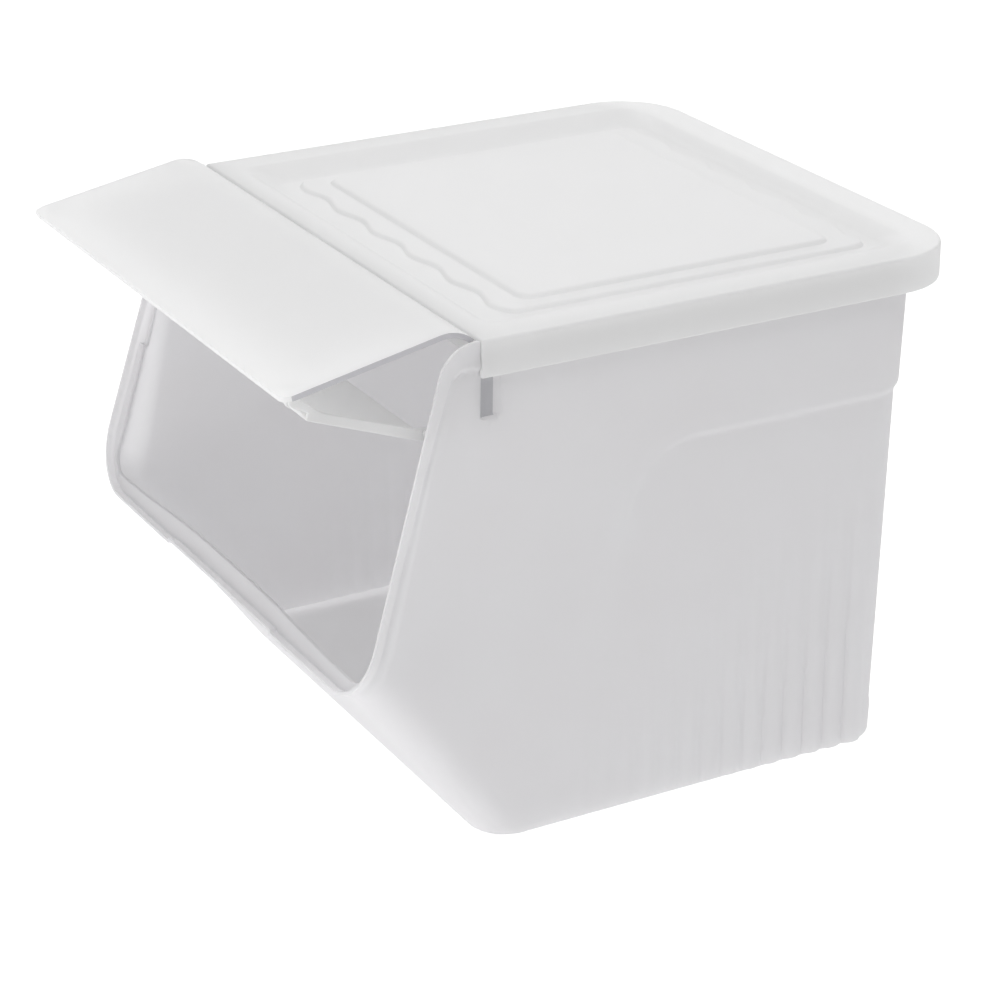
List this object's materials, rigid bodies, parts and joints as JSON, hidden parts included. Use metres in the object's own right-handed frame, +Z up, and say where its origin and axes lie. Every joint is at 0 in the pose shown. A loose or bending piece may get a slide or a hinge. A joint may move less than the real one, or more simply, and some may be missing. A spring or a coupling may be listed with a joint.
{
  "type": "rice bin with flip lid",
  "caption": "Slope-fronted food storage bin with a lift-off lid and a pouring flap whose two hinged panels fold under each other.",
  "frame": {"origin": "centre of the base's underside, where the bin stands", "axes": "+Z up; -Y towards the sloping pouring mouth; +X across the bin, parallel to the flap's hinge"},
  "size_m": [0.313, 0.3632, 0.2664],
  "materials": {
    "bin_plastic": "white polypropylene with a fine satin grain",
    "lid_plastic": "white polypropylene, smooth",
    "flap_plastic": "white polypropylene, smooth"
  },
  "bodies": {
    "bin": {"bin_body": "bin_plastic"},
    "lid": {"lid": "lid_plastic", "lid_skirt": "lid_plastic"},
    "upper_panel": {"upper_flap": "flap_plastic"},
    "lower_panel": {"lower_flap": "flap_plastic"}
  },
  "joints": [
    {"name": "lid_lift", "type": "slide", "parent": "bin", "child": "lid", "axis": [0, 0, 1], "range_m": [0, 0.06]},
    {"name": "flap_hinge", "type": "hinge", "parent": "bin", "child": "upper_panel", "pos_m": [0, -0.123, 0.2511], "axis": [1, 0, 0], "range_deg": [0, 62.2]},
    {"name": "flap_fold", "type": "hinge", "parent": "upper_panel", "child": "lower_panel", "pos_m": [0, -0.21053, 0.24585], "axis": [1, 0, 0], "range_deg": [-148.8, 0]}
  ],
  "couplings": [
    {"joint": "flap_fold", "follows": "flap_hinge", "ratio": -2.392}
  ]
}
